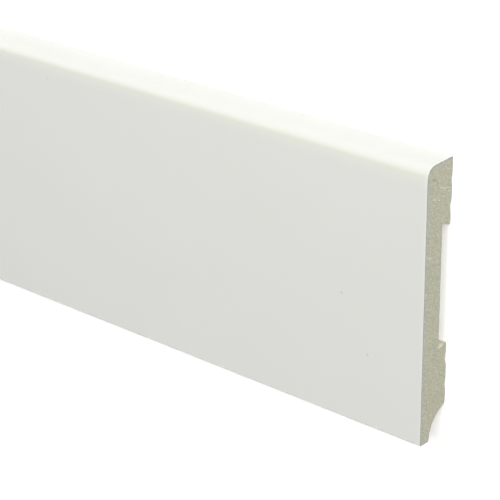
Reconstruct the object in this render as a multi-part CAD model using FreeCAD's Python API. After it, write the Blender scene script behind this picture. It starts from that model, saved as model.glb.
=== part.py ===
"""Skirting board length: a foamed polymer profile with a white film wrapped round its face.

The board lies on its back on a level floor, face up. All sizes are in millimetres.
X runs along the board, Y up its face (foot at -Y, top edge at +Y), Z from its back to its face.
The origin is the middle of the board's box, at the level of the floor that it lies on.
"""
import FreeCAD
import Part
import math
import os

# The board as sold
LENGTH = 2400.0            # one length of stock
HEIGHT = 120.0             # floor to top edge, once it is on the wall
THICKNESS = 16.0           # wall to face

# The face: top edge, rounded corner, face and foot
TOP_FALL = 0.6             # how much the top edge drops from the wall to the face
FACE_TOP_ROUND = 4.4       # the large rounded corner between top edge and face
FACE_EASE_ROUND = 50.0     # the slow curve that eases the face into that corner
FACE_EASE_TURN = 5.5       # degrees that the slow curve turns
FACE_FOOT_ROUND = 0.5      # the sharper corner between face and foot
BACK_TOP_ROUND = 0.5       # the eased corner between top edge and back
FILM = 0.3                 # the wrapped film and its glue

# The slot in the back that the wall clips hold
SLOT_MOUTH = 50.0          # its width at the mouth
SLOT_RAISE = 6.5           # its middle lies this far above the middle of the board
SLOT_DEPTH = 5.5           # from the back to the web
SLOT_UNDERCUT = 22.0       # degrees that each side leans in behind its lip
MOUTH_ROUND = 0.8          # the eased corner of each lip
ROOT_ROUND = 0.3           # the corner between side and web

# The two pads that lie against the wall, above and below the slot
LIP_RELIEF = 0.4           # the lips by the slot stand back from the wall by this
FLUTE_OFFSET = 7.7         # mouth of the slot to the middle of the first flute
FLUTE_PITCH = 11.4         # one flute to the next
FIRST_FLUTE_WIDTH = 7.6    # the flute by the slot
FIRST_FLUTE_DEPTH = 1.0
OUTER_FLUTE_WIDTH = 6.0    # every flute after it
OUTER_FLUTE_DEPTH = 0.5
END_LAND = 3.0             # the least flat land between the last flute and the pad's end

# The cove behind the foot, which leaves room for a cable or an uneven floor
FOOT_WIDTH = 5.8           # face to the cove, at floor level
FOOT_ROUND = 1.0           # the corner between foot and cove
COVE_RADIUS = 14.0
COVE_PAD_ROUND = 2.0       # the corner between cove and lower pad

TOUCHING = 1e-6            # two points this close are the same


def place(height, depth):
    """The point of the near end that lies this high up the board and this far from the back."""
    return FreeCAD.Vector(-LENGTH / 2, height - HEIGHT / 2, depth)


class Outline:
    """A line drawn point by point round a section, as (height, depth) pairs."""

    def __init__(self, start):
        self.start = start
        self.here = start
        self.edges = []

    def line(self, end):
        if math.dist(self.here, end) > TOUCHING:
            self.edges.append(Part.LineSegment(place(*self.here), place(*end)).toShape())
        self.here = end

    def arc(self, through, end):
        self.edges.append(Part.Arc(place(*self.here), place(*through), place(*end)).toShape())
        self.here = end

    def bend(self, centre, radius, end):
        """The short arc round a centre to an end point."""
        middle = ((self.here[0] + end[0]) / 2, (self.here[1] + end[1]) / 2)
        reach = radius / math.dist(centre, middle)
        through = tuple(c + (m - c) * reach for c, m in zip(centre, middle))
        self.arc(through, end)

    def corner(self, corner, towards, radius):
        """A line to a corner, rounded on the way to the next point."""
        back = unit(corner, self.here)
        ahead = unit(corner, towards)
        half = math.acos(back[0] * ahead[0] + back[1] * ahead[1]) / 2
        run = radius / math.tan(half)
        bisector = unit((0, 0), (back[0] + ahead[0], back[1] + ahead[1]))
        centre = along(corner, bisector, radius / math.sin(half))
        self.line(along(corner, back, run))
        self.bend(centre, radius, along(corner, ahead, run))

    def ramp(self, end):
        """Two equal arcs, level at both ends, from one depth to another."""
        rise = abs(end[1] - self.here[1])
        run = abs(end[0] - self.here[0])
        if rise < TOUCHING:
            self.line(end)
            return
        radius = (run ** 2 + rise ** 2) / (4 * rise)
        side = math.copysign(radius, end[1] - self.here[1])
        middle = ((self.here[0] + end[0]) / 2, (self.here[1] + end[1]) / 2)
        self.bend((self.here[0], self.here[1] + side), radius, middle)
        self.bend((end[0], end[1] - side), radius, end)

    def solid(self):
        self.line(self.start)
        face = Part.Face(Part.Wire(self.edges))
        return face.extrude(FreeCAD.Vector(LENGTH, 0, 0))


def unit(start, end):
    """The direction from one point to another."""
    reach = math.dist(start, end)
    return ((end[0] - start[0]) / reach, (end[1] - start[1]) / reach)


def along(start, direction, reach):
    return (start[0] + direction[0] * reach, start[1] + direction[1] * reach)


# The angle at which the top edge falls towards the face
top_slope = math.atan2(TOP_FALL, THICKNESS)


def top_edge(depth, inset=0.0):
    """The height of the top edge at a depth, or of a line that lies inside it."""
    return HEIGHT - TOP_FALL * depth / THICKNESS - inset / math.cos(top_slope)


# The two mouth corners of the slot and the way out from it, up or down the board
slot_middle = HEIGHT / 2 + SLOT_RAISE
lower_mouth = slot_middle - SLOT_MOUTH / 2
upper_mouth = slot_middle + SLOT_MOUTH / 2
slot_hook = (SLOT_DEPTH - LIP_RELIEF) * math.tan(math.radians(SLOT_UNDERCUT))

# The cove's centre lies at floor level, behind the back of the board
cove_centre = (0.0, THICKNESS - FOOT_WIDTH - COVE_RADIUS)
pad_reach = COVE_RADIUS + COVE_PAD_ROUND
pad_start = math.sqrt(pad_reach ** 2 - (COVE_PAD_ROUND - cove_centre[1]) ** 2)


def flutes(mouth, pad_end):
    """The middle, width and depth of each flute on a pad, from the slot outwards."""
    outwards = math.copysign(1.0, pad_end - mouth)
    room = abs(pad_end - mouth) - END_LAND - OUTER_FLUTE_WIDTH / 2
    found = [(mouth + outwards * FLUTE_OFFSET, FIRST_FLUTE_WIDTH, FIRST_FLUTE_DEPTH)]
    reach = FLUTE_OFFSET + FLUTE_PITCH
    while reach <= room:
        found.append((mouth + outwards * reach, OUTER_FLUTE_WIDTH, OUTER_FLUTE_DEPTH))
        reach += FLUTE_PITCH
    return found


def pad_levels(mouth, pad_end):
    """The pad's back from the slot outwards: where it is level, and how deep it lies there."""
    outwards = math.copysign(1.0, pad_end - mouth)
    levels = []
    for middle, width, depth in flutes(mouth, pad_end):
        near_level = 0.0 if levels else LIP_RELIEF
        levels.append((middle - outwards * width / 2, near_level))
        levels.append((middle, depth))
        levels.append((middle + outwards * width / 2, 0.0))
    return levels


def round_into_face(outline, inset=0.0):
    """From the top edge round the large corner and the slow curve, this far inside the film's face."""
    turn = math.radians(FACE_EASE_TURN)
    corner_depth = (THICKNESS - FACE_EASE_ROUND
                    + (FACE_EASE_ROUND - FACE_TOP_ROUND) * math.cos(turn))
    corner = (top_edge(corner_depth, FACE_TOP_ROUND), corner_depth)
    ease = (corner[0] - (FACE_EASE_ROUND - FACE_TOP_ROUND) * math.sin(turn),
            THICKNESS - FACE_EASE_ROUND)
    radius = FACE_TOP_ROUND - inset
    outline.line(along(corner, (math.cos(top_slope), math.sin(top_slope)), radius))
    outline.bend(corner, radius, along(corner, (math.sin(turn), math.cos(turn)), radius))
    outline.bend(ease, FACE_EASE_ROUND - inset, (ease[0], THICKNESS - inset))


def finished_board():
    """The whole section with its film, from the foot round the cove, the back and the top."""
    foot_reach = math.sqrt((COVE_RADIUS + FOOT_ROUND) ** 2 - FOOT_ROUND ** 2)
    foot_corner = (FOOT_ROUND, cove_centre[1] + foot_reach)
    pad_corner = (pad_start, COVE_PAD_ROUND)
    outline = Outline((HEIGHT / 2, THICKNESS))
    outline.corner((0.0, THICKNESS), (0.0, foot_corner[1]), FACE_FOOT_ROUND)
    outline.line((0.0, foot_corner[1]))
    outline.bend(foot_corner, FOOT_ROUND,
                 along(cove_centre, unit(cove_centre, foot_corner), COVE_RADIUS))
    outline.bend(cove_centre, COVE_RADIUS,
                 along(cove_centre, unit(cove_centre, pad_corner), COVE_RADIUS))
    outline.bend(pad_corner, COVE_PAD_ROUND, (pad_start, 0.0))

    for height, level in reversed(pad_levels(lower_mouth, pad_start)):
        outline.ramp((height, level))
    lower_root = (lower_mouth - slot_hook, SLOT_DEPTH)
    upper_root = (upper_mouth + slot_hook, SLOT_DEPTH)
    outline.corner((lower_mouth, LIP_RELIEF), lower_root, MOUTH_ROUND)
    outline.corner(lower_root, upper_root, ROOT_ROUND)
    outline.corner(upper_root, (upper_mouth, LIP_RELIEF), ROOT_ROUND)
    upper_levels = pad_levels(upper_mouth, HEIGHT - BACK_TOP_ROUND)
    outline.corner((upper_mouth, LIP_RELIEF), upper_levels[0], MOUTH_ROUND)
    for height, level in upper_levels:
        outline.ramp((height, level))

    outline.corner((top_edge(0.0), 0.0), (top_edge(THICKNESS), THICKNESS), BACK_TOP_ROUND)
    round_into_face(outline)
    return outline.solid()


def space_inside_film():
    """All that lies behind the film: its own outline on three sides, and open at the back."""
    face = THICKNESS - FILM
    behind = -THICKNESS
    outline = Outline((HEIGHT / 2, face))
    outline.corner((FILM, face), (FILM, behind), FACE_FOOT_ROUND - FILM)
    outline.line((FILM, behind))
    outline.line((top_edge(behind, FILM), behind))
    round_into_face(outline, FILM)
    return outline.solid()


board = finished_board()
inside = space_inside_film()
pieces = {
    "foam_core": board.common(inside),
    "white_film": board.cut(inside),
}

os.makedirs("parts", exist_ok=True)
for name, shape in pieces.items():
    solid = shape.Solids[0]
    solid.exportStep(f"parts/{name}.step")
    box = solid.BoundBox
    print(f"{name}: {len(shape.Solids)} solid, valid {solid.isValid()}, "
          f"section {solid.Volume / LENGTH:.1f} mm2, "
          f"Y {box.YMin:.3f} to {box.YMax:.3f}, Z {box.ZMin:.3f} to {box.ZMax:.3f}")
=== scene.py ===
"""A length of skirting board: a grey-beige foamed core with a white film wrapped round its face.

It lies on its back on a pale floor, face up, and the camera looks down on its sawn end.
Lengths are in metres. X runs along the board, Y up its face from the foot to the top edge,
and Z from its back to its face.
"""

import math

import bpy
import numpy as np
from mathutils import Matrix, Vector, geometry
from mathutils.kdtree import KDTree


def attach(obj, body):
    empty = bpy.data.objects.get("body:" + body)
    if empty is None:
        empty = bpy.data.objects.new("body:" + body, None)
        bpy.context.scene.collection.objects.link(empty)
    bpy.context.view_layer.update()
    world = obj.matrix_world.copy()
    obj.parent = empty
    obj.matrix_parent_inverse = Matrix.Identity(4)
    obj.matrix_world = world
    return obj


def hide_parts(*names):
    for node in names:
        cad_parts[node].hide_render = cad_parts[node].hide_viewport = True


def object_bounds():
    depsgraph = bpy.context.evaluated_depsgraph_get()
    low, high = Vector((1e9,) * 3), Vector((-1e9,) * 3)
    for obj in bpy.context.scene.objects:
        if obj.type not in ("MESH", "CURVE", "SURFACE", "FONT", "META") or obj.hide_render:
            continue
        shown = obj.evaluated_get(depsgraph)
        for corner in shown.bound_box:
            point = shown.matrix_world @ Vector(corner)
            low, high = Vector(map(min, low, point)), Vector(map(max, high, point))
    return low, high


bl_info = {
    "name": "Skirting Board Length",
    "version": (1, 0, 0),
    "blender": (4, 5, 0),
    "location": "View3D > Sidebar > Skirting",
    "description": "Builds a film-wrapped skirting board with sawn ends, lying on a pale floor",
    "category": "Add Mesh",
}

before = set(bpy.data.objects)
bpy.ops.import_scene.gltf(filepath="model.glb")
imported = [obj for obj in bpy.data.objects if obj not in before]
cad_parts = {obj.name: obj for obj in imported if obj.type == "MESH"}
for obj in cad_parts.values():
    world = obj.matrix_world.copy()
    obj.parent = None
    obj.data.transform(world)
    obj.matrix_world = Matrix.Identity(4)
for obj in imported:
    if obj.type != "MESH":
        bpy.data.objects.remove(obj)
CAD_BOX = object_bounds()
LOW_END = CAD_BOX[0].x
HIGH_END = CAD_BOX[1].x
MM = 0.001


def length(name, millimetres, description):
    """A size that a user can change, given in millimetres and kept in metres."""
    return bpy.props.FloatProperty(
        name=name, description=description, default=millimetres * MM,
        subtype="DISTANCE", unit="LENGTH", precision=5)


def linear(hexadecimal):
    """An sRGB hex colour as the linear values that shaders use."""
    channels = [int(hexadecimal[i:i + 2], 16) / 255 for i in (1, 3, 5)]
    return tuple(c / 12.92 if c <= 0.04045 else ((c + 0.055) / 1.055) ** 2.4 for c in channels)


def colour(name, hexadecimal, description):
    """A colour that a user can change."""
    return bpy.props.FloatVectorProperty(
        name=name, description=description, default=linear(hexadecimal),
        size=3, min=0.0, max=1.0, subtype="COLOR")


class SkirtingSection(bpy.types.PropertyGroup):
    """The board's section, as it would be cut square across."""
    height: length("Height", 120, "Foot to top edge")
    thickness: length("Thickness", 16, "Back to face")
    film: length("Film", 0.3, "The wrapped film and its glue")
    top_fall: length("Top fall", 0.6, "How much the top edge drops from back to face")
    face_top_round: length("Face top round", 4.4, "Corner between top edge and face")
    face_ease_round: length("Face ease round", 50, "Slow curve between that corner and the face")
    face_ease_turn: bpy.props.FloatProperty(
        name="Face ease turn", description="How far the slow curve turns",
        default=math.radians(5.5), subtype="ANGLE", unit="ROTATION")
    face_foot_round: length("Face foot round", 0.5, "Corner between face and foot")
    back_top_round: length("Back top round", 0.5, "Eased corner between top edge and back")
    slot_mouth: length("Slot mouth", 50, "Width of the clip slot at its mouth")
    slot_raise: length("Slot raise", 6.5, "Slot's middle above the board's middle")
    slot_depth: length("Slot depth", 5.5, "Back to web")
    slot_undercut: bpy.props.FloatProperty(
        name="Slot undercut", description="How far each side of the slot leans in behind its lip",
        default=math.radians(22), subtype="ANGLE", unit="ROTATION")
    mouth_round: length("Mouth round", 0.8, "Eased corner of each lip")
    root_round: length("Root round", 0.3, "Corner between the slot's side and the web")
    lip_relief: length("Lip relief", 0.4, "How far the lips stand back from the wall")
    flute_offset: length("Flute offset", 7.7, "Slot's mouth to the first flute's middle")
    flute_pitch: length("Flute pitch", 11.4, "One flute to the next")
    first_flute_width: length("First flute width", 7.6, "The flute by the slot")
    first_flute_depth: length("First flute depth", 1.0, "The flute by the slot")
    outer_flute_width: length("Outer flute width", 6.0, "Every flute after the first")
    outer_flute_depth: length("Outer flute depth", 0.5, "Every flute after the first")
    end_land: length("End land", 3, "Least flat land outside the last flute")
    foot_width: length("Foot width", 5.8, "Face to cove at floor level")
    foot_round: length("Foot round", 1, "Corner between foot and cove")
    cove_radius: length("Cove radius", 14, "The cove behind the foot")
    cove_pad_round: length("Cove pad round", 2, "Corner between cove and lower pad")
    # Half width of the band along the large corner where the film is a little yellower.
    yellower_band: length("Film stretch", 2.2, "Half width of the band where the film is stretched")


class SkirtingSawnEnd(bpy.types.PropertyGroup):
    """What the saw leaves at each end of the board."""
    grid: length("Grid", 0.42, "Spacing of the mesh on the sawn face")
    recess: length("Recess", 0.06, "How far the foam is cut back behind the film's edge")
    saw_pitch: length("Saw pitch", 1.3, "Spacing of the saw's marks")
    saw_depth: length("Saw depth", 0.035, "Depth of the saw's marks")
    blade_height: length("Blade height", -66, "Foot of the board to the middle of the saw's blade")
    blade_depth: length("Blade depth", 55, "Back of the board to the middle of the saw's blade")
    cells: bpy.props.IntProperty(
        name="Cells", description="Larger cells of the foam that the saw has opened", default=110)
    flecks: bpy.props.IntProperty(
        name="Flecks", description="Flecks of foam that the saw has torn up", default=170)
    mark_least: length("Least mark", 0.13, "Radius of the smallest cell or fleck")
    mark_most: length("Largest mark", 0.34, "Radius of the largest cell or fleck")
    face_rim: length("Face rim", 3.0, "Width of the denser, greyer foam next to the film")
    back_rim: length("Back rim", 1.3, "Width of the denser, greyer foam next to the back")
    crumble: length("Crumble", 0.05, "How far the foam's edge has crumbled")
    burr_and_painted_light: length("Burr", 0.12, "Height of the burr on the slot's lower edge")
    burr_and_painted_light_reach: length("Burr reach", 12.0, "How far the burr runs in from the cut")
    whitening: length("Whitening", 1.0, "How far in from the cut the film has whitened")
    seed: bpy.props.IntProperty(name="Seed", description="Which random cells and chips", default=7)


class SkirtingColours(bpy.types.PropertyGroup):
    """The board's colours and the floor's."""
    film: colour("Film", "#F1F2EC", "White film on the face")
    # The film a little yellower along the large rounded corner.
    stretched: colour("Stretched film", "#F1F2E6", "The film where it is stretched round the large corner")
    whitened: colour("Whitened film", "#F8F9F3", "The film beside the cut")
    film_cut: colour("Film's cut edge", "#AFAEA4", "The film and its glue where the saw has cut them")
    skin: colour("Foam skin", "#EAE7CD", "Foam as it left the die, on the back")
    sawn: colour("Sawn foam", "#CBCAB4", "Foam where the saw has cut it")
    rim: colour("Rim of the foam", "#C8C8BD", "Denser foam at the edges of the cut")
    cell: colour("Opened cell", "#A9A78F", "Inside of an opened cell")
    torn: colour("Torn foam", "#F2F1DB", "Foam that the saw has torn and whitened")
    # Painted light: the next colour lightens the slot's lower side near each cut, which lies in shade
    # under the board.
    burr_and_painted_light: colour("Burr", "#FBF5D2", "Foam that the saw has torn up along the slot's lower edge")
    floor: colour("Floor", "#F4F4F4", "The floor that the board lies on")


def section():
    return bpy.context.scene.skirting_section


def sawn_end():
    return bpy.context.scene.skirting_sawn_end


def colours():
    return bpy.context.scene.skirting_colours


# The section, drawn as runs of (height, depth) points

FLAT_STEP = 0.5 * MM       # spacing of points on the flats
ROUND_STEP = math.radians(6)  # turn between points on the rounded parts
SAME_DEPTH = 0.001 * MM    # a flute this shallow is level


def unit(start, end):
    """The direction from one point to another."""
    way = np.subtract(end, start)
    return way / np.linalg.norm(way)


def corner_round(before, corner, after, radius):
    """Centre, start and end of the arc that rounds a corner."""
    back = unit(corner, before)
    ahead = unit(corner, after)
    half = math.acos(float(back @ ahead)) / 2
    centre = np.array(corner) + unit((0, 0), back + ahead) * radius / math.sin(half)
    run = radius / math.tan(half)
    return centre, np.array(corner) + back * run, np.array(corner) + ahead * run


class Run:
    """A line drawn point by point along part of the section."""

    def __init__(self, start):
        self.points = [np.array(start, float)]

    def line(self, end):
        start = self.points[-1]
        count = max(1, round(math.dist(start, end) / FLAT_STEP))
        for i in range(1, count + 1):
            self.points.append(start + (np.array(end) - start) * i / count)

    def bend(self, centre, end):
        """The short arc round a centre to an end point."""
        centre = np.array(centre)
        spoke = self.points[-1] - centre
        radius = np.linalg.norm(spoke)
        begin = math.atan2(spoke[1], spoke[0])
        last = np.array(end) - centre
        turn = math.atan2(last[1], last[0]) - begin
        turn = (turn + math.pi) % (2 * math.pi) - math.pi
        count = max(1, math.ceil(abs(turn) / ROUND_STEP), round(abs(turn) * radius / FLAT_STEP))
        for i in range(1, count + 1):
            angle = begin + turn * i / count
            self.points.append(centre + radius * np.array([math.cos(angle), math.sin(angle)]))

    def corner(self, corner, towards, radius):
        """A line to a corner, rounded on the way to the next point."""
        centre, begin, end = corner_round(self.points[-1], corner, towards, radius)
        self.line(begin)
        self.bend(centre, end)

    def ramp(self, end):
        """Two equal arcs, level at both ends, from one depth to another."""
        start = self.points[-1]
        rise = end[1] - start[1]
        if abs(rise) < SAME_DEPTH:
            self.line(end)
            return
        radius = ((end[0] - start[0]) ** 2 + rise ** 2) / (4 * rise)
        middle = (start + np.array(end)) / 2
        self.bend((start[0], start[1] + radius), middle)
        self.bend((end[0], end[1] - radius), end)

    def array(self):
        return np.array(self.points)


def top_edge(s, depth, inset=0.0):
    """The height of the top edge at a depth, or of a line that lies inside it."""
    slope = math.atan2(s.top_fall, s.thickness)
    return s.height - s.top_fall * depth / s.thickness - inset / math.cos(slope)


def film_ends(s):
    """Where the film stops: on the rounded corner by the cove, and on the one by the back."""
    cove = np.array([0.0, s.thickness - s.foot_width - s.cove_radius])
    reach = math.sqrt((s.cove_radius + s.foot_round) ** 2 - s.foot_round ** 2)
    foot_centre = np.array([s.foot_round, cove[1] + reach])
    foot_inset = s.foot_round - s.film
    foot_end = foot_centre - np.array([foot_inset, math.sqrt(s.foot_round ** 2 - foot_inset ** 2)])

    face_top = (top_edge(s, s.thickness), s.thickness)
    back_top = (top_edge(s, 0.0), 0.0)
    top_centre, top_start, back_end = corner_round(face_top, back_top, (0.0, 0.0), s.back_top_round)
    outwards = unit(top_centre, top_start)
    backwards = unit(face_top, back_top)
    top_inset = s.back_top_round - s.film
    top_end = (top_centre + outwards * top_inset
               + backwards * math.sqrt(s.back_top_round ** 2 - top_inset ** 2))
    return foot_centre, foot_end, top_centre, top_start, top_end, back_end


def face_corner(s):
    """Centres of the slow curve and the large corner, and the way out to where they meet."""
    way = np.array([math.sin(s.face_ease_turn), math.cos(s.face_ease_turn)])
    between = s.face_ease_round - s.face_top_round
    depth = s.thickness - s.face_ease_round + between * way[1]
    corner = np.array([top_edge(s, depth, s.face_top_round), depth])
    return corner - between * way, corner, way


def round_into_top(s, run, inset=0.0):
    """From the face round the slow curve and the large corner, this far inside the film's face."""
    slope = math.atan2(s.top_fall, s.thickness)
    ease, corner, way = face_corner(s)
    radius = s.face_top_round - inset
    run.line((ease[0], s.thickness - inset))
    run.bend(ease, corner + radius * way)
    run.bend(corner, corner + radius * np.array([math.cos(slope), math.sin(slope)]))


def film_outside(s):
    """The film's outer side, from the foot round the face to the top edge."""
    foot_centre, foot_end, top_centre, top_start, top_end, _ = film_ends(s)
    run = Run(foot_end)
    run.bend(foot_centre, (0.0, foot_centre[1]))
    run.corner((0.0, s.thickness), (s.height / 2, s.thickness), s.face_foot_round)
    round_into_top(s, run)
    run.line(top_start)
    run.bend(top_centre, top_end)
    return run.array()


def film_inside(s):
    """The film's inner side, which lies on the core, drawn the same way round."""
    _, foot_end, _, _, top_end, _ = film_ends(s)
    face = s.thickness - s.film
    run = Run(foot_end)
    run.corner((s.film, face), (s.height / 2, face), s.face_foot_round - s.film)
    round_into_top(s, run, s.film)
    run.line(top_end)
    return run.array()


def pad_levels(s, mouth, pad_end):
    """The pad's back from the slot outwards: where it is level, and how deep it lies there."""
    outwards = math.copysign(1.0, pad_end - mouth)
    room = abs(pad_end - mouth) - s.end_land - s.outer_flute_width / 2
    flutes = [(s.flute_offset, s.first_flute_width, s.first_flute_depth)]
    reach = s.flute_offset + s.flute_pitch
    while reach <= room:
        flutes.append((reach, s.outer_flute_width, s.outer_flute_depth))
        reach += s.flute_pitch
    levels = []
    for middle, width, depth in flutes:
        near_level = 0.0 if levels else s.lip_relief
        levels.append((mouth + outwards * (middle - width / 2), near_level))
        levels.append((mouth + outwards * middle, depth))
        levels.append((mouth + outwards * (middle + width / 2), 0.0))
    return levels


def core_back(s):
    """The back of the core, from the top edge over the pads, slot and cove to the foot."""
    foot_centre, foot_end, top_centre, _, top_end, back_end = film_ends(s)
    slot_middle = s.height / 2 + s.slot_raise
    upper_mouth = slot_middle + s.slot_mouth / 2
    lower_mouth = slot_middle - s.slot_mouth / 2
    hook = (s.slot_depth - s.lip_relief) * math.tan(s.slot_undercut)
    upper_root = (upper_mouth + hook, s.slot_depth)
    lower_root = (lower_mouth - hook, s.slot_depth)
    cove = np.array([0.0, s.thickness - s.foot_width - s.cove_radius])
    pad_reach = s.cove_radius + s.cove_pad_round
    pad_start = math.sqrt(pad_reach ** 2 - (s.cove_pad_round - cove[1]) ** 2)
    pad_centre = np.array([pad_start, s.cove_pad_round])

    run = Run(top_end)
    run.bend(top_centre, back_end)
    for level in reversed(pad_levels(s, upper_mouth, s.height - s.back_top_round)):
        run.ramp(level)
    run.corner((upper_mouth, s.lip_relief), upper_root, s.mouth_round)
    run.corner(upper_root, lower_root, s.root_round)
    run.corner(lower_root, (lower_mouth, s.lip_relief), s.root_round)
    lower_levels = pad_levels(s, lower_mouth, pad_start)
    run.corner((lower_mouth, s.lip_relief), lower_levels[0], s.mouth_round)
    for level in lower_levels:
        run.ramp(level)
    run.line((pad_start, 0.0))
    run.bend(pad_centre, cove + unit(cove, pad_centre) * s.cove_radius)
    run.bend(cove, cove + unit(cove, foot_centre) * s.cove_radius)
    run.bend(foot_centre, foot_end)
    return run.array()


# Meshes that run the length of the board

END_RINGS = np.array([0.0, 0.6, 1.5, 3.0, 6.0, 25.0]) * MM  # rings of points this far from each end
MIDDLE_RINGS = 12          # evenly spaced rings between them
MIDDLE_START = 100 * MM    # where those start and stop, from each end
SHARP_ANGLE = math.radians(32)  # an edge that turns by more than this shows as an edge
WALL, CUT = 0, 1           # which of a piece's two materials a face has


def stations():
    """Places along the board for its rings of points, closer together towards the ends."""
    middle = np.linspace(LOW_END + MIDDLE_START, HIGH_END - MIDDLE_START, MIDDLE_RINGS)
    return np.concatenate([LOW_END + END_RINGS, middle, (HIGH_END - END_RINGS)[::-1]])


def near_end(x, reach):
    """From 1 at either end of the board to 0 at this distance from it."""
    return max(0.0, 1 - min(x - LOW_END, HIGH_END - x) / reach)


def in_place(x, profile):
    """(height, depth) points as places in the board's frame, at this place along the board."""
    low_edge = section().height / 2
    x = np.broadcast_to(x, len(profile))
    return np.column_stack([x, profile[:, 0] - low_edge, profile[:, 1]])


def wall_faces(rings, count):
    """The four-sided faces between one ring of points and the next, facing out of the board."""
    faces = []
    for ring in range(rings - 1):
        near = ring * count
        far = near + count
        for i in range(count):
            j = (i + 1) % count
            faces.append((near + i, far + i, far + j, near + j))
    return faces


def end_faces(triangles, numbers, sign):
    """An end's triangles over the numbers of its points, facing out of the board."""
    faces = [tuple(numbers[i] for i in triangle) for triangle in triangles]
    return faces if sign < 0 else [face[::-1] for face in faces]


def make_piece(name, node, vertices, faces, kinds, marks, materials):
    """A closed mesh that takes the place of a node of the frame."""
    mesh = bpy.data.meshes.new(name)
    mesh.from_pydata([tuple(v) for v in vertices], [], faces)
    if mesh.validate():
        raise RuntimeError(f"the mesh of {name} had faces that had to be taken out")
    for material in materials:
        mesh.materials.append(material)
    mesh.polygons.foreach_set("material_index", kinds)
    for mark, values in marks.items():
        mesh.attributes.new(mark, "FLOAT", "POINT").data.foreach_set("value", values)
    mesh.shade_smooth()
    mesh.set_sharp_from_angle(angle=SHARP_ANGLE)
    piece = bpy.data.objects.new(name, mesh)
    bpy.context.scene.collection.objects.link(piece)
    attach(piece, "root")
    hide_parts(node)
    return piece


# The sawn face of the core

# What shows most on the cut, placed one by one. Each has its middle's height above the foot and depth
# from the back, its length and its radius in millimetres, and its strength.
TEARS = (
    (108.5, 5.1, 6.6, 0.20, 0.8),
    (107.5, 1.9, 2.8, 0.16, 0.6),
    (108.0, 5.6, 3.4, 0.15, 0.5),
    (106.2, 1.8, 0.8, 0.42, 1.0),
    (105.2, 5.6, 2.2, 0.15, 0.5),
    (104.6, 5.2, 1.8, 0.15, 0.4),
    (103.8, 3.0, 0.6, 0.20, 0.6),
    (104.1, 5.9, 1.0, 0.20, 0.6),
    (104.2, 8.2, 1.2, 0.25, 0.9),
    (105.2, 11.2, 1.8, 0.27, 1.0),
    (96.2, 4.7, 1.4, 0.18, 0.5),
    (95.4, 5.5, 1.2, 0.24, 0.7),
    (82.0, 13.9, 4.4, 0.20, 0.6),
    (81.3, 13.7, 4.0, 0.15, 0.5),
    (59.6, 12.9, 4.6, 0.20, 0.5),
    (57.2, 10.4, 1.4, 0.24, 0.5),
    (42.3, 6.0, 0.1, 0.50, 0.5),
    (41.0, 6.0, 0.1, 0.50, 0.6),
    (40.1, 3.8, 0.1, 0.45, 0.5),
    (38.0, 13.4, 1.4, 0.20, 0.4),
    (23.6, 6.4, 1.4, 0.22, 0.5),
    (22.2, 6.0, 1.2, 0.22, 0.5),
    (11.7, 9.2, 1.8, 0.20, 0.5),
)
PITS = (
    (117.2, 13.2, 1.2, 0.90, 0.3),
    (113.2, 11.5, 0.5, 0.80, 1.0),
    (113.0, 14.0, 0.2, 0.35, 0.4),
    (114.2, 0.8, 0.1, 0.35, 0.5),
    (107.1, 2.9, 1.2, 0.18, 0.6),
    (100.7, 4.0, 0.5, 0.35, 0.6),
    (99.1, 2.2, 0.3, 0.32, 0.5),
    (96.8, 13.6, 0.3, 0.30, 0.4),
    (95.6, 3.4, 1.6, 0.25, 0.4),
    (92.4, 6.8, 0.4, 0.30, 0.5),
    (87.6, 8.6, 2.0, 0.25, 0.4),
    (68.0, 10.8, 0.3, 0.28, 0.5),
    (54.8, 9.2, 0.6, 0.40, 0.4),
    (33.2, 2.4, 0.2, 0.32, 0.5),
    (29.3, 4.0, 0.2, 0.34, 0.6),
    (27.4, 3.9, 0.3, 0.34, 0.5),
    (15.3, 2.4, 0.4, 0.40, 0.4),
    (10.4, 7.7, 0.8, 0.25, 0.7),
)
# Painted light: the mark below lightens the slot's lower side near each cut, as well as lifting it.
BURR_AND_PAINTED_LIGHT = (40.4, 4.2, 1.0, 1.6)  # the burr on the slot's lower edge, given the same way
TEAR_LIFT = 0.9            # height of the strongest tear, as a share of the recess
CELL_SHAPE = 0.8           # depth of the strongest cell or pit, as a share of its radius

# The random cells and flecks between them
TRIES = 3                  # places tried for each one wanted
SMALL_ONES = 3             # the higher, the more of them are near the least radius
LONGEST = 2                # length of the longest, in radii
STRENGTHS = (0.25, 0.8)    # of the weakest and the strongest
CLEARANCE = 1.5            # radii that they keep off the outline and the other marks

# The mesh on the sawn face
STRAY = 0.3                # how far a grid point is off its place, as a share of the spacing
OFF_OUTLINE = 0.5          # how far it keeps from the outline's points, likewise
OFF_MARKS = 0.4            # and from those of the marks
MARK_RINGS = (0.55, 1.0)   # rings of points round a mark's ends, as shares of its radius
MARK_SPOKES = 10           # points on each ring
ROUNDING = 1.001           # takes in the points that lie just on a mark's rim
NO_LENGTH = 1e-12          # stands for the length of a round mark, squared
HULL = 0                   # asks for triangles over all that the points span
SAME_PLACE = 1e-6          # millimetres between points that run together

# How uneven the saw leaves the foam and the film: by how much, and the spacing of the bumps
STROKE_DRIFT = (0.5 * MM, 9 * MM)  # how far the saw's marks are off their arcs
STROKE_FADE = (0.4, 5 * MM)        # how much fainter they are in places
GRAIN = (0.012 * MM, 0.9 * MM)     # fine roughness of the foam
TEAR_FADE = (0.2, 0.8 * MM)        # how ragged the tears are
BITE_FADE = (0.7, 7 * MM)          # how much smaller the bites out of the foam's edge are in places
BITE_SPACING = 0.9 * MM
NICK = (0.02 * MM, 0.7 * MM)       # the film's cut edge


def round_blade(place):
    """The direction of the saw's marks at a (height, depth) place: round the middle of its blade."""
    spoke = unit((sawn_end().blade_height, sawn_end().blade_depth), place)
    return np.array([-spoke[1], spoke[0]])


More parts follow.
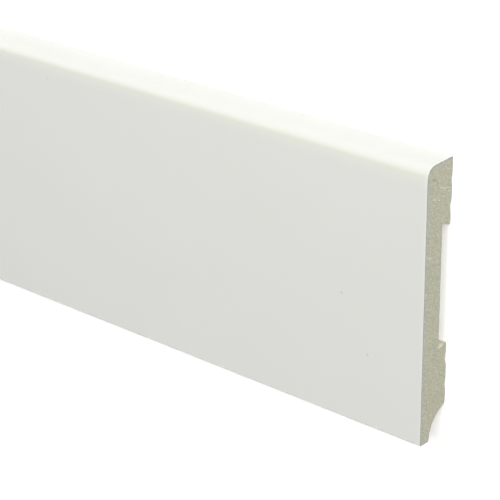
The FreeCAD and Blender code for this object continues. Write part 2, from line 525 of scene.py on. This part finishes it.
def inside(outline, points):
    """Which points lie inside a closed outline: above them, it is crossed an odd number of times."""
    within = np.zeros(len(points), bool)
    for a, b in zip(outline, np.roll(outline, -1, axis=0)):
        crosses = (a[1] > points[:, 1]) != (b[1] > points[:, 1])
        if a[1] != b[1]:
            at = a[0] + (points[:, 1] - a[1]) * (b[0] - a[0]) / (b[1] - a[1])
            within ^= crosses & (points[:, 0] < at)
    return within


def runs_anticlockwise(outline):
    """Whether an outline runs anticlockwise, with height across and depth up."""
    after = np.roll(outline, -1, axis=0)
    return np.sum(outline[:, 0] * after[:, 1] - outline[:, 1] * after[:, 0]) > 0


def nearest(points, others):
    """How far each point is from the nearest of the others."""
    tree = KDTree(len(others))
    for i, (height, depth) in enumerate(others):
        tree.insert((height, depth, 0.0), i)
    tree.balance()
    return np.array([tree.find((height, depth, 0.0))[2] for height, depth in points])


def fill(outline, points):
    """Triangles over the points inside an outline, whose own points come first among them."""
    count = len(outline)
    edges = [(i, (i + 1) % count) for i in range(count)]
    found, _, triangles, origins, _, _ = geometry.delaunay_2d_cdt(
        [Vector(p / MM) for p in points], edges, [], HULL, SAME_PLACE, True)
    if len(found) != len(points):
        raise RuntimeError("points of a cut face ran together")
    triangles = [tuple(origins[i][0] for i in triangle) for triangle in triangles]

    # From one triangle inside the outline to all that are reached without crossing it
    on_left = {}
    for number, (a, b, c) in enumerate(triangles):
        on_left.update({(a, b): number, (b, c): number, (c, a): number})
    crossings = set(edges) | {(j, i) for i, j in edges}
    reached = {on_left[(0, 1) if runs_anticlockwise(outline) else (1, 0)]}
    waiting = list(reached)
    while waiting:
        a, b, c = triangles[waiting.pop()]
        for i, j in ((a, b), (b, c), (c, a)):
            if (i, j) not in crossings and on_left[j, i] not in reached:
                reached.add(on_left[j, i])
                waiting.append(on_left[j, i])
    return [triangles[number] for number in sorted(reached)]


class Mark:
    """A straight mark with round ends on the sawn face: a tear, a pit or an opened cell."""

    def __init__(self, middle, reach, radius, strength=1.0, way=None):
        way = round_blade(middle) if way is None else way
        self.start = middle - way * reach / 2
        self.end = middle + way * reach / 2
        self.radius = radius
        self.strength = strength

    def distance(self, points):
        way = self.end - self.start
        share = (points - self.start) @ way / max(float(way @ way), NO_LENGTH)
        foot = self.start + share.clip(0, 1)[:, None] * way
        return np.linalg.norm(points - foot, axis=1)

    def reaches(self, place, radius):
        """Whether the mark may come near a spot of this radius."""
        span = math.dist(self.start, self.end) / 2 + self.radius + radius
        return math.dist(place, (self.start + self.end) / 2) < span

    def share(self, points):
        """From 1 on the mark's spine to 0 at its rim, times its strength."""
        return (1 - (self.distance(points) / self.radius).clip(0, 1) ** 2) * self.strength

    def points(self):
        """Points for the mesh, so that the mark keeps its shape: its spine, and two rings."""
        steps = max(1, round(math.dist(self.start, self.end) / self.radius))
        spine = [self.start + (self.end - self.start) * i / steps for i in range(steps + 1)]
        found = [spine[0]]
        angles = np.linspace(0, 2 * math.pi, MARK_SPOKES, endpoint=False)
        for share in MARK_RINGS:
            ring = np.column_stack([np.cos(angles), np.sin(angles)]) * self.radius * share
            for middle in (spine[0], spine[-1]):
                found.extend(middle + ring)
        found = np.array(found + spine[1:])
        return found[self.distance(found) <= self.radius * ROUNDING]


def smooth_noise(points, cell, random):
    """Gentle bumps from -1 to 1 over (height, depth) points, one bump to each cell."""
    low = points.min(axis=0) - cell
    at = (points - low) / cell
    size = np.ceil(at.max(axis=0)).astype(int) + 2
    grid = random.uniform(-1, 1, size)
    whole = np.floor(at).astype(int)
    part = at - whole
    part = part * part * (3 - 2 * part)
    row, column = whole[:, 0], whole[:, 1]
    near = grid[row, column] * (1 - part[:, 1]) + grid[row, column + 1] * part[:, 1]
    far = grid[row + 1, column] * (1 - part[:, 1]) + grid[row + 1, column + 1] * part[:, 1]
    return near * (1 - part[:, 0]) + far * part[:, 0]


def faded(points, fade, random):
    """Shares of at most 1 over (height, depth) points, and less in places by up to twice a fade."""
    share, cell = fade
    return 1 - share + share * smooth_noise(points, cell, random)


def burr_and_painted_light_mark():
    """The lifted edge on the slot's lower side, which follows its undercut, and the painted light on that
    side.
    """
    height, depth, reach, radius = BURR_AND_PAINTED_LIGHT
    way = np.array([-math.sin(section().slot_undercut), math.cos(section().slot_undercut)])
    return Mark(np.array([height, depth]) * MM, reach * MM, radius * MM, way=way)


def sawn_marks(outline, random):
    """The tears, pits and opened cells of one sawn face."""
    end = sawn_end()
    tears, pits = ([Mark(np.array([height, depth]) * MM, reach * MM, radius * MM, strength)
                    for height, depth, reach, radius, strength in marks] for marks in (TEARS, PITS))
    low, high = outline.min(axis=0), outline.max(axis=0)
    for marks, wanted in ((pits, end.cells), (tears, end.flecks)):
        places = random.uniform(low, high, (wanted * TRIES, 2))
        clear = inside(outline, places) & (nearest(places, outline) > end.mark_most * CLEARANCE)
        for place in places[clear][:wanted]:
            radius = end.mark_least + (end.mark_most - end.mark_least) * random.random() ** SMALL_ONES
            strength = random.uniform(*STRENGTHS)
            if not any(mark.reaches(place, radius * CLEARANCE) for mark in tears + pits):
                marks.append(Mark(place, radius * LONGEST * random.random(), radius, strength))
    return tears, pits


def sawn_points(outline, marks, random):
    """Points for the mesh of one sawn face: the outline's own, a loose grid, and the marks'."""
    end = sawn_end()
    low, high = outline.min(axis=0), outline.max(axis=0)
    rows = np.arange(low[0], high[0], end.grid)
    columns = np.arange(low[1], high[1], end.grid)
    grid = np.stack(np.meshgrid(rows, columns, indexing="ij"), axis=2).reshape(-1, 2)
    grid += random.uniform(-STRAY, STRAY, grid.shape) * end.grid
    mark_points = np.concatenate([mark.points() for mark in marks])
    grid = grid[inside(outline, grid) & (nearest(grid, outline) > end.grid * OFF_OUTLINE)]
    grid = grid[nearest(grid, mark_points) > end.grid * OFF_MARKS]
    mark_points = mark_points[inside(outline, mark_points)
                              & (nearest(mark_points, outline) > end.mark_least)]
    return np.concatenate([outline, grid, mark_points])


def sawn_depth(points, random):
    """How far the saw has cut each point back, before any tear or cell."""
    end = sawn_end()
    drift, drift_cell = STROKE_DRIFT
    grain, grain_cell = GRAIN
    across = np.linalg.norm(points - np.array([end.blade_height, end.blade_depth]), axis=1)
    across += drift * smooth_noise(points, drift_cell, random)
    strokes = 0.5 + 0.5 * np.sin(across * 2 * math.pi / end.saw_pitch)
    strokes *= faded(points, STROKE_FADE, random)
    depth = end.recess + end.saw_depth * (strokes - 0.5)
    return depth + grain * smooth_noise(points, grain_cell, random)


def sawn_face(outline, random):
    """Points and triangles of one sawn face, how far each point is cut back, and its marks."""
    tears, pits = sawn_marks(outline, random)
    points = sawn_points(outline, tears + pits, random)
    triangles = fill(outline, points)
    depth = sawn_depth(points, random)
    torn = np.zeros(len(points))
    opened = np.zeros(len(points))
    for mark in tears:
        torn = np.maximum(torn, mark.share(points))
    for mark in pits:
        share = mark.share(points)
        depth += share * mark.radius * CELL_SHAPE
        opened = np.maximum(opened, share)
    torn *= faded(points, TEAR_FADE, random)
    depth -= torn * sawn_end().recess * TEAR_LIFT
    return points, triangles, depth.clip(0.0), torn, opened


def crumbled(outline, backs, random):
    """The outline with small bites out of the foam's open edge, none where the film covers it."""
    after = np.roll(outline, -1, axis=0) - np.roll(outline, 1, axis=0)
    inwards = np.column_stack([-after[:, 1], after[:, 0]])
    inwards /= np.linalg.norm(inwards, axis=1)[:, None]
    middle = outline.mean(axis=0)
    if np.sum((middle - outline) * inwards) < 0:
        inwards = -inwards
    bite = smooth_noise(outline, BITE_SPACING, random).clip(0, 1) ** 2
    fade, fade_cell = BITE_FADE
    bite *= 1 - fade + fade * smooth_noise(outline, fade_cell, random).clip(0, 1)
    return outline + inwards * (bite * backs * sawn_end().crumble)[:, None]


def foam_core_mesh():
    """The core: its walls along the board, and a sawn face at each end."""
    s = section()
    random = np.random.default_rng(sawn_end().seed)
    face_side = film_inside(s)
    back_side = core_back(s)
    outline = np.concatenate([face_side, back_side[1:-1]])
    backs = np.concatenate([np.zeros(len(face_side)), np.ones(len(back_side) - 2)])
    count = len(outline)
    places = stations()

    # The mark lifts the slot's lower side near each end, which is real relief. It also lightens that side
    # there with painted light, because the side lies in shade under the board.
    burr_and_painted_light = burr_and_painted_light_mark().share(outline) * backs
    lifted_and_painted_light = [burr_and_painted_light * near_end(x, sawn_end().burr_and_painted_light_reach) for x in places]
    lift = np.array([sawn_end().burr_and_painted_light, 0.0])
    vertices = [in_place(x, outline + share[:, None] * lift) for x, share in zip(places, lifted_and_painted_light)]
    faces = wall_faces(len(places), count)
    kinds = [WALL] * len(faces)
    used = count * len(places)
    # On the walls, the 'torn' marks hold only the painted light on the slot's lower side.
    marks = {"torn": np.concatenate(lifted_and_painted_light), "opened": np.zeros(used), "rim": np.zeros(used)}
    for ring, sign in ((0, 1.0), (len(places) - 1, -1.0)):
        points, triangles, depth, torn, opened = sawn_face(outline, random)
        rim = np.maximum(1 - nearest(points, face_side) / sawn_end().face_rim,
                         1 - nearest(points, back_side) / sawn_end().back_rim).clip(0)
        edge = crumbled(outline, backs, random) + burr_and_painted_light[:, None] * lift
        # Painted light: the cut's edge along the slot's lower side is lightened too.
        torn[:count] = np.maximum(torn[:count], burr_and_painted_light)
        x = places[ring] + sign * depth
        vertices[ring] = in_place(x[:count], edge)
        vertices.append(in_place(x[count:], points[count:]))
        first = ring * count
        numbers = [*range(first, first + count), *range(used, used + len(points) - count)]
        faces += end_faces(triangles, numbers, sign)
        kinds += [CUT] * len(triangles)
        used += len(points) - count
        for name, values in (("torn", torn), ("opened", opened), ("rim", rim)):
            marks[name][first:first + count] = values[:count]
            marks[name] = np.concatenate([marks[name], values[count:]])
    return np.concatenate(vertices), faces, kinds, marks


def white_film_mesh():
    """The film: a thin band round the face, with its cut edge at each end."""
    s = section()
    random = np.random.default_rng(sawn_end().seed + 1)
    outer = film_outside(s)
    inner = film_inside(s)
    outline = np.concatenate([outer, inner[-2:0:-1]])
    count = len(outline)
    places = stations()
    vertices = [in_place(x, outline) for x in places]
    faces = wall_faces(len(places), count)
    kinds = [WALL] * len(faces)
    # The film is a little yellower along the large rounded corner, fading out over the band's half width.
    _, corner, way = face_corner(s)
    away = np.linalg.norm(outline - (corner + s.face_top_round * way), axis=1)
    stretched = np.exp(-(away / s.yellower_band) ** 2)
    marks = {"stretched": np.tile(stretched, len(places)),
             "whitened": np.repeat([near_end(x, sawn_end().whitening) for x in places], count)}
    triangles = fill(outline, outline)
    nick, nick_cell = NICK
    for ring, sign in ((0, 1.0), (len(places) - 1, -1.0)):
        cut_back = nick * (1 + smooth_noise(outline, nick_cell, random))
        vertices[ring] = in_place(places[ring] + sign * cut_back, outline)
        faces += end_faces(triangles, range(ring * count, (ring + 1) * count), sign)
        kinds += [CUT] * len(triangles)
    return np.concatenate(vertices), faces, kinds, marks


# Materials

NOISE_SPAN = (0.3, 0.7)    # most of a noise texture lies between these


def add(tree, kind, inputs=(), output=None, **settings):
    """Adds a node and gives its named output, or else its first one in use.

    Its inputs come as a list, in their order on the node, or under their names or numbers.
    One that is another node's output is linked, and any other is set. The numbers are those
    of a mix: 0 is the share, 6 and 7 are the two colours, and 2 and 3 the two plain values.
    """
    node = tree.nodes.new(kind)
    for key, value in settings.items():
        setattr(node, key, value)
    for key, value in (inputs if isinstance(inputs, dict) else dict(enumerate(inputs))).items():
        if isinstance(value, bpy.types.NodeSocket):
            tree.links.new(value, node.inputs[key])
        else:
            node.inputs[key].default_value = value
    if output:
        return node.outputs[output]
    return next((socket for socket in node.outputs if socket.enabled), None)


def new_material(name):
    """An empty material, its node tree, and the place on the board that its patterns start from."""
    material = bpy.data.materials.new(name)
    material.use_nodes = True
    tree = material.node_tree
    tree.nodes.clear()
    return material, tree, add(tree, "ShaderNodeTexCoord", output="Object")


def rgba(values, red=1.0, green=1.0, blue=1.0):
    """A colour for a node, with each channel scaled."""
    return (*(min(1.0, v * scale) for v, scale in zip(values, (red, green, blue))), 1.0)


def finish_material(tree, surface, roughness, height, relief, ior):
    """Ends a material in a plain shader, with a bump of this real depth in metres."""
    bump = add(tree, "ShaderNodeBump", {"Strength": 1.0, "Distance": relief, "Height": height})
    shader = add(tree, "ShaderNodeBsdfPrincipled",
                 {"Base Color": surface, "Roughness": roughness, "IOR": ior, "Normal": bump})
    add(tree, "ShaderNodeOutputMaterial", {"Surface": shader})


# Tiny specks on the face: height, distance from the right end and radius in millimetres,
# and the share by which they darken the film
SPECKS = ((55.8, 41.1, 0.7, 0.3), (32.2, 27.3, 0.6, 0.4), (109.2, 208.5, 0.8, 0.12))


def calendered_vinyl_film():
    """Thin white vinyl film, calendered and pressed round the core by rollers.

    It gives an even white with a satin gloss, a faint orange peel, and the faintest lines
    along the board where the rollers have run. It is a little yellower along the large rounded
    corner, and paler along its last millimetre by the cut.
    """
    material, tree, place = new_material("calendered_vinyl_film")
    white = colours().film
    clouds = add(tree, "ShaderNodeTexNoise", {"Vector": place, "Scale": 1 / (40 * MM), "Detail": 3.0})
    share = add(tree, "ShaderNodeMapRange", [clouds, *NOISE_SPAN])
    surface = add(tree, "ShaderNodeMix", {0: share, 6: rgba(white, 0.99, 0.99, 0.99), 7: rgba(white)},
                  data_type="RGBA")
    # A little yellower along the large rounded corner.
    stretched = add(tree, "ShaderNodeAttribute", output="Fac", attribute_name="stretched")
    surface = add(tree, "ShaderNodeMix", {0: stretched, 6: surface, 7: rgba(colours().stretched)},
                  data_type="RGBA")
    whitened = add(tree, "ShaderNodeAttribute", output="Fac", attribute_name="whitened")
    surface = add(tree, "ShaderNodeMix", {0: whitened, 6: surface, 7: rgba(colours().whitened)},
                  data_type="RGBA")

    for height, x, radius, darkness in SPECKS:
        spot = (HIGH_END - x * MM, height * MM - section().height / 2, CAD_BOX[1].z)
        away = add(tree, "ShaderNodeVectorMath", [place, spot], output="Value", operation="DISTANCE")
        dark = add(tree, "ShaderNodeMapRange", [away, radius * MM * 0.5, radius * MM, darkness, 0.0])
        surface = add(tree, "ShaderNodeMix", {0: dark, 6: surface, 7: rgba(colours().cell)},
                      data_type="RGBA")

    peel = add(tree, "ShaderNodeTexNoise", {"Vector": place, "Scale": 1 / (1.6 * MM), "Detail": 1.0})
    drawn = add(tree, "ShaderNodeVectorMath", [place, (400 * MM, 2.5 * MM, 2.5 * MM)], operation="DIVIDE")
    lines = add(tree, "ShaderNodeTexNoise", {"Vector": drawn, "Scale": 1.0, "Detail": 2.0})
    height = add(tree, "ShaderNodeMath", [lines, 0.6, peel], operation="MULTIPLY_ADD")
    patches = add(tree, "ShaderNodeTexNoise", {"Vector": place, "Scale": 1 / (12 * MM), "Detail": 2.0})
    roughness = add(tree, "ShaderNodeMapRange", [patches, *NOISE_SPAN, 0.38, 0.46])
    finish_material(tree, surface, roughness, height, 0.02 * MM, 1.53)
    return material


def extruded_foam_skin():
    """Foamed polymer as it left the die: closed by a thin skin, with lines drawn along it.

    It gives a cream-grey, half-matt back with faint streaks along the board. Near each cut,
    the slot's lower side is painted paler: painted light on a side that lies in shade.
    """
    material, tree, place = new_material("extruded_foam_skin")
    skin = colours().skin
    drawn = add(tree, "ShaderNodeVectorMath", [place, (180 * MM, 0.9 * MM, 0.9 * MM)], operation="DIVIDE")
    lines = add(tree, "ShaderNodeTexNoise", {"Vector": drawn, "Scale": 1.0, "Detail": 4.0})
    clouds = add(tree, "ShaderNodeTexNoise", {"Vector": place, "Scale": 1 / (25 * MM), "Detail": 4.0})
    shade = add(tree, "ShaderNodeMix", {0: 0.4, 2: lines, 3: clouds})
    share = add(tree, "ShaderNodeMapRange", [shade, *NOISE_SPAN])
    surface = add(tree, "ShaderNodeMix", {0: share, 6: rgba(skin, 0.9, 0.9, 0.9), 7: rgba(skin)},
                  data_type="RGBA")
    torn = add(tree, "ShaderNodeAttribute", output="Fac", attribute_name="torn")
    # Painted light: the cream colour lightens the slot's lower side near each cut.
    surface = add(tree, "ShaderNodeMix", {0: torn, 6: surface, 7: rgba(colours().burr_and_painted_light)}, data_type="RGBA")
    grain = add(tree, "ShaderNodeTexNoise", {"Vector": place, "Scale": 1 / (0.8 * MM), "Detail": 3.0})
    height = add(tree, "ShaderNodeMath", [grain, 0.5, lines], operation="MULTIPLY_ADD")
    roughness = add(tree, "ShaderNodeMapRange", [lines, *NOISE_SPAN, 0.5, 0.62])
    finish_material(tree, surface, roughness, height, 0.03 * MM, 1.5)
    return material


def sawn_foam():
    """Foamed polymer cut by a circular saw: opened cells, curved saw marks, and torn flecks.

    It gives a dry, matt grey-beige with a fine speckle, greyer towards its edges. The cells
    are some 0.1 mm across in the real foam and are drawn at 0.7 mm, so that they show.
    """
    material, tree, place = new_material("sawn_foam")
    sawn = colours().sawn
    patches = add(tree, "ShaderNodeTexNoise", {"Vector": place, "Scale": 1 / (7 * MM), "Detail": 3.0})
    share = add(tree, "ShaderNodeMapRange", [patches, 0.4, 0.6])
    surface = add(tree, "ShaderNodeMix",
                  {0: share, 6: rgba(sawn, 0.985, 1.01, 0.99), 7: rgba(sawn, 1.02, 0.995, 1.0)},
                  data_type="RGBA")
    rim = add(tree, "ShaderNodeAttribute", output="Fac", attribute_name="rim")
    surface = add(tree, "ShaderNodeMix", {0: rim, 6: surface, 7: rgba(colours().rim)}, data_type="RGBA")

    speckle = add(tree, "ShaderNodeTexNoise",
                  {"Vector": place, "Scale": 1 / (0.7 * MM), "Detail": 2.0, "Roughness": 0.6})
    shade = add(tree, "ShaderNodeMapRange", [speckle, *NOISE_SPAN, 0.78, 1.22])
    grey = add(tree, "ShaderNodeCombineColor", [shade, shade, shade])
    surface = add(tree, "ShaderNodeMix", {0: 1.0, 6: surface, 7: grey},
                  data_type="RGBA", blend_type="MULTIPLY")

    flat = add(tree, "ShaderNodeVectorMath", [place, (0.0, 1.0, 1.0)], operation="MULTIPLY")
    blade = (0.0, sawn_end().blade_height - section().height / 2, sawn_end().blade_depth)
    reach = add(tree, "ShaderNodeVectorMath", [flat, blade], output="Value", operation="DISTANCE")
    depth = add(tree, "ShaderNodeSeparateXYZ", [place], output="Z")
    sweep = add(tree, "ShaderNodeCombineXYZ",
                [0.0, add(tree, "ShaderNodeMath", [reach, 0.45 * MM], operation="DIVIDE"),
                 add(tree, "ShaderNodeMath", [depth, 5 * MM], operation="DIVIDE")])
    strokes = add(tree, "ShaderNodeTexNoise", {"Vector": sweep, "Scale": 1.0, "Detail": 3.0})
    pale = add(tree, "ShaderNodeMapRange", [strokes, 0.54, 0.72, 0.0, 0.3])
    surface = add(tree, "ShaderNodeMix", {0: pale, 6: surface, 7: rgba(colours().torn)}, data_type="RGBA")

    # The 'torn' marks are torn foam, except along the slot's lower side, where they are painted light.
    for name, most, paint in (("opened", 0.7, colours().cell), ("torn", 0.9, colours().torn)):
        mark = add(tree, "ShaderNodeAttribute", output="Fac", attribute_name=name)
        share = add(tree, "ShaderNodeMapRange", [mark, 0.1, 0.8, 0.0, most])
        surface = add(tree, "ShaderNodeMix", {0: share, 6: surface, 7: rgba(paint)}, data_type="RGBA")
    height = add(tree, "ShaderNodeMath", [strokes, 0.7, speckle], operation="MULTIPLY_ADD")
    roughness = add(tree, "ShaderNodeMapRange", [speckle, *NOISE_SPAN, 0.8, 0.95])
    finish_material(tree, surface, roughness, height, 0.08 * MM, 1.5)
    return material


def sawn_film_edge():
    """The film and its glue, cut through by the saw and smeared with foam dust.

    It gives the grey line that runs round the white sides of the cut.
    """
    material, tree, place = new_material("sawn_film_edge")
    cut = colours().film_cut
    dust = add(tree, "ShaderNodeTexNoise", {"Vector": place, "Scale": 1 / (0.7 * MM), "Detail": 3.0})
    share = add(tree, "ShaderNodeMapRange", [dust, *NOISE_SPAN])
    surface = add(tree, "ShaderNodeMix", {0: share, 6: rgba(cut, 0.86, 0.86, 0.86), 7: rgba(cut)},
                  data_type="RGBA")
    roughness = add(tree, "ShaderNodeMapRange", [dust, *NOISE_SPAN, 0.65, 0.85])
    finish_material(tree, surface, roughness, dust, 0.03 * MM, 1.53)
    return material


def matt_paper_floor():
    """A roll of matt white paper: even, with no gloss. It shows as white where no shadow falls."""
    material, tree, place = new_material("matt_paper_floor")
    paper = colours().floor
    fibres = add(tree, "ShaderNodeTexNoise", {"Vector": place, "Scale": 1 / (3 * MM), "Detail": 3.0})
    share = add(tree, "ShaderNodeMapRange", [fibres, *NOISE_SPAN])
    surface = add(tree, "ShaderNodeMix", {0: share, 6: rgba(paper, 0.985, 0.985, 0.985), 7: rgba(paper)},
                  data_type="RGBA")
    matt = add(tree, "ShaderNodeBsdfDiffuse", {"Color": surface})
    seen = 0.0
    for ray in ("Is Camera Ray", "Is Glossy Ray", "Is Transmission Ray"):
        path = add(tree, "ShaderNodeLightPath", output=ray)
        seen = add(tree, "ShaderNodeMath", [seen, path], operation="MAXIMUM")
    strength = add(tree, "ShaderNodeMath", [seen, FLOOR_GLOW], operation="MULTIPLY")
    glow = add(tree, "ShaderNodeEmission", {"Color": rgba((1.0, 1.0, 1.0)), "Strength": strength})
    both = add(tree, "ShaderNodeAddShader", [matt, glow])
    add(tree, "ShaderNodeOutputMaterial", {"Surface": both})
    return material


# Stage

# The camera stands in front of the face, above the sawn end, and is turned so that
# the board's top edge runs across the top of the picture
CAMERA_PLACE = Vector((1.63061, 0.34404, 0.60298))
CAMERA_LOOK = Vector((-0.60787, -0.40112, -0.68527))
CAMERA_UP = Vector((-0.26043, 0.91600, -0.30515))
CAMERA_LENS = 148.58       # millimetres
CAMERA_SENSOR = 36.0       # millimetres across the picture
CAMERA_REACH = (0.01, 50.0)  # the nearest and farthest that it sees
FLOOR_SIZE = 60.0
FLOOR_GAP = 0.02 * MM      # keeps the floor just clear of the board's back
FLOOR_GLOW = 0.46          # what lifts the lit floor to white, seen by the camera
SKY_STRENGTH = 0.25

# Each lamp: name, place, what it points at, width, length and watts
LAMPS = (
    ("right_softbox", (3.1, 2.55, 1.5), (1.2, 0.0, 0.0), 1.8, 1.8, 43.7),
    ("left_softbox", (-3.1, 2.55, 1.5), (-1.2, 0.0, 0.0), 1.8, 1.8, 30.3),
    ("right_overhead", (1.5, 0.5, 1.5), (1.2, 0.0, 0.0), 0.8, 0.8, 10.8),
    ("middle_overhead", (-0.4, 0.4, 1.0), (-0.4, 0.0, 0.0), 0.6, 0.6, 2.7),
    ("left_overhead", (-1.1, 0.4, 1.0), (-1.1, 0.0, 0.0), 0.6, 0.6, 2.4),
    ("near_strip", (0.85, 0.44, 0.42), (1.1, 0.0, 0.0), 0.5, 0.25, 0.29),
)


def look_matrix(place, look, up):
    """Turns an object to look along a direction, with this way up."""
    right = look.cross(up).normalized()
    up = right.cross(look).normalized()
    turn = Matrix((right, up, -look.normalized())).transposed()
    return Matrix.Translation(place) @ turn.to_4x4()


def add_floor():
    mesh = bpy.data.meshes.new("floor")
    half = FLOOR_SIZE / 2
    corners = [(-half, -half, 0.0), (half, -half, 0.0), (half, half, 0.0), (-half, half, 0.0)]
    mesh.from_pydata(corners, [], [(0, 1, 2, 3)])
    mesh.materials.append(matt_paper_floor())
    floor = bpy.data.objects.new("floor", mesh)
    floor.location.z = CAD_BOX[0].z - FLOOR_GAP
    bpy.context.scene.collection.objects.link(floor)


def add_lamps():
    for name, place, target, width, depth, watts in LAMPS:
        lamp = bpy.data.lights.new(name, "AREA")
        lamp.shape = "RECTANGLE"
        lamp.size = width
        lamp.size_y = depth
        lamp.energy = watts
        holder = bpy.data.objects.new(name, lamp)
        look = Vector(target) - Vector(place)
        holder.matrix_world = look_matrix(Vector(place), look, Vector((0, 0, 1)))
        bpy.context.scene.collection.objects.link(holder)


def add_sky():
    """Even light from all round. The floor reaches so far that the sky itself stays out of view."""
    world = bpy.data.worlds.new("even_white_sky")
    world.use_nodes = True
    tree = world.node_tree
    tree.nodes.clear()
    light = add(tree, "ShaderNodeBackground",
                {"Color": rgba((1.0, 1.0, 1.0)), "Strength": SKY_STRENGTH})
    add(tree, "ShaderNodeOutputWorld", {"Surface": light})
    bpy.context.scene.world = world


def add_camera():
    camera = bpy.data.cameras.new("camera")
    camera.lens = CAMERA_LENS
    camera.sensor_width = CAMERA_SENSOR
    camera.clip_start, camera.clip_end = CAMERA_REACH
    holder = bpy.data.objects.new("camera", camera)
    holder.matrix_world = look_matrix(CAMERA_PLACE, CAMERA_LOOK, CAMERA_UP)
    bpy.context.scene.collection.objects.link(holder)
    bpy.context.scene.camera = holder


# Operators and panel


class SKIRTING_OT_stage(bpy.types.Operator):
    """Adds the floor, the lamps, the sky and the camera."""
    bl_idname = "skirting.stage"
    bl_label = "Add Stage"

    def execute(self, context):
        add_floor()
        add_lamps()
        add_sky()
        add_camera()
        context.scene.view_settings.view_transform = "Standard"
        return {"FINISHED"}


class SKIRTING_OT_foam_core(bpy.types.Operator):
    """Adds the foamed core with its sawn ends, in place of the plain one."""
    bl_idname = "skirting.foam_core"
    bl_label = "Add Foam Core"

    def execute(self, context):
        make_piece("foamed_core", "foam_core", *foam_core_mesh(), [extruded_foam_skin(), sawn_foam()])
        return {"FINISHED"}


class SKIRTING_OT_white_film(bpy.types.Operator):
    """Adds the white film that wraps the face, in place of the plain one."""
    bl_idname = "skirting.white_film"
    bl_label = "Add White Film"

    def execute(self, context):
        make_piece("wrapped_film", "white_film", *white_film_mesh(),
                   [calendered_vinyl_film(), sawn_film_edge()])
        return {"FINISHED"}


class SKIRTING_PT_panel(bpy.types.Panel):
    """The board's sizes, colours and pieces."""
    bl_label = "Skirting Board"
    bl_idname = "SKIRTING_PT_panel"
    bl_space_type = "VIEW_3D"
    bl_region_type = "UI"
    bl_category = "Skirting"

    def draw(self, context):
        layout = self.layout
        for operator in (SKIRTING_OT_stage, SKIRTING_OT_foam_core, SKIRTING_OT_white_film):
            layout.operator(operator.bl_idname)
        for title, group in (("Section", section()), ("Sawn ends", sawn_end()),
                             ("Colours", colours())):
            box = layout.box()
            box.label(text=title)
            for name in group.__annotations__:
                box.prop(group, name)


CLASSES = (
    SkirtingSection,
    SkirtingSawnEnd,
    SkirtingColours,
    SKIRTING_OT_stage,
    SKIRTING_OT_foam_core,
    SKIRTING_OT_white_film,
    SKIRTING_PT_panel,
)


def register():
    for cls in CLASSES:
        bpy.utils.register_class(cls)
    bpy.types.Scene.skirting_section = bpy.props.PointerProperty(type=SkirtingSection)
    bpy.types.Scene.skirting_sawn_end = bpy.props.PointerProperty(type=SkirtingSawnEnd)
    bpy.types.Scene.skirting_colours = bpy.props.PointerProperty(type=SkirtingColours)


def unregister():
    del bpy.types.Scene.skirting_colours
    del bpy.types.Scene.skirting_sawn_end
    del bpy.types.Scene.skirting_section
    for cls in reversed(CLASSES):
        bpy.utils.unregister_class(cls)


def main():
    register()
    bpy.ops.skirting.stage()
    bpy.ops.skirting.foam_core()
    bpy.ops.skirting.white_film()


if __name__ == "__main__":
    main()
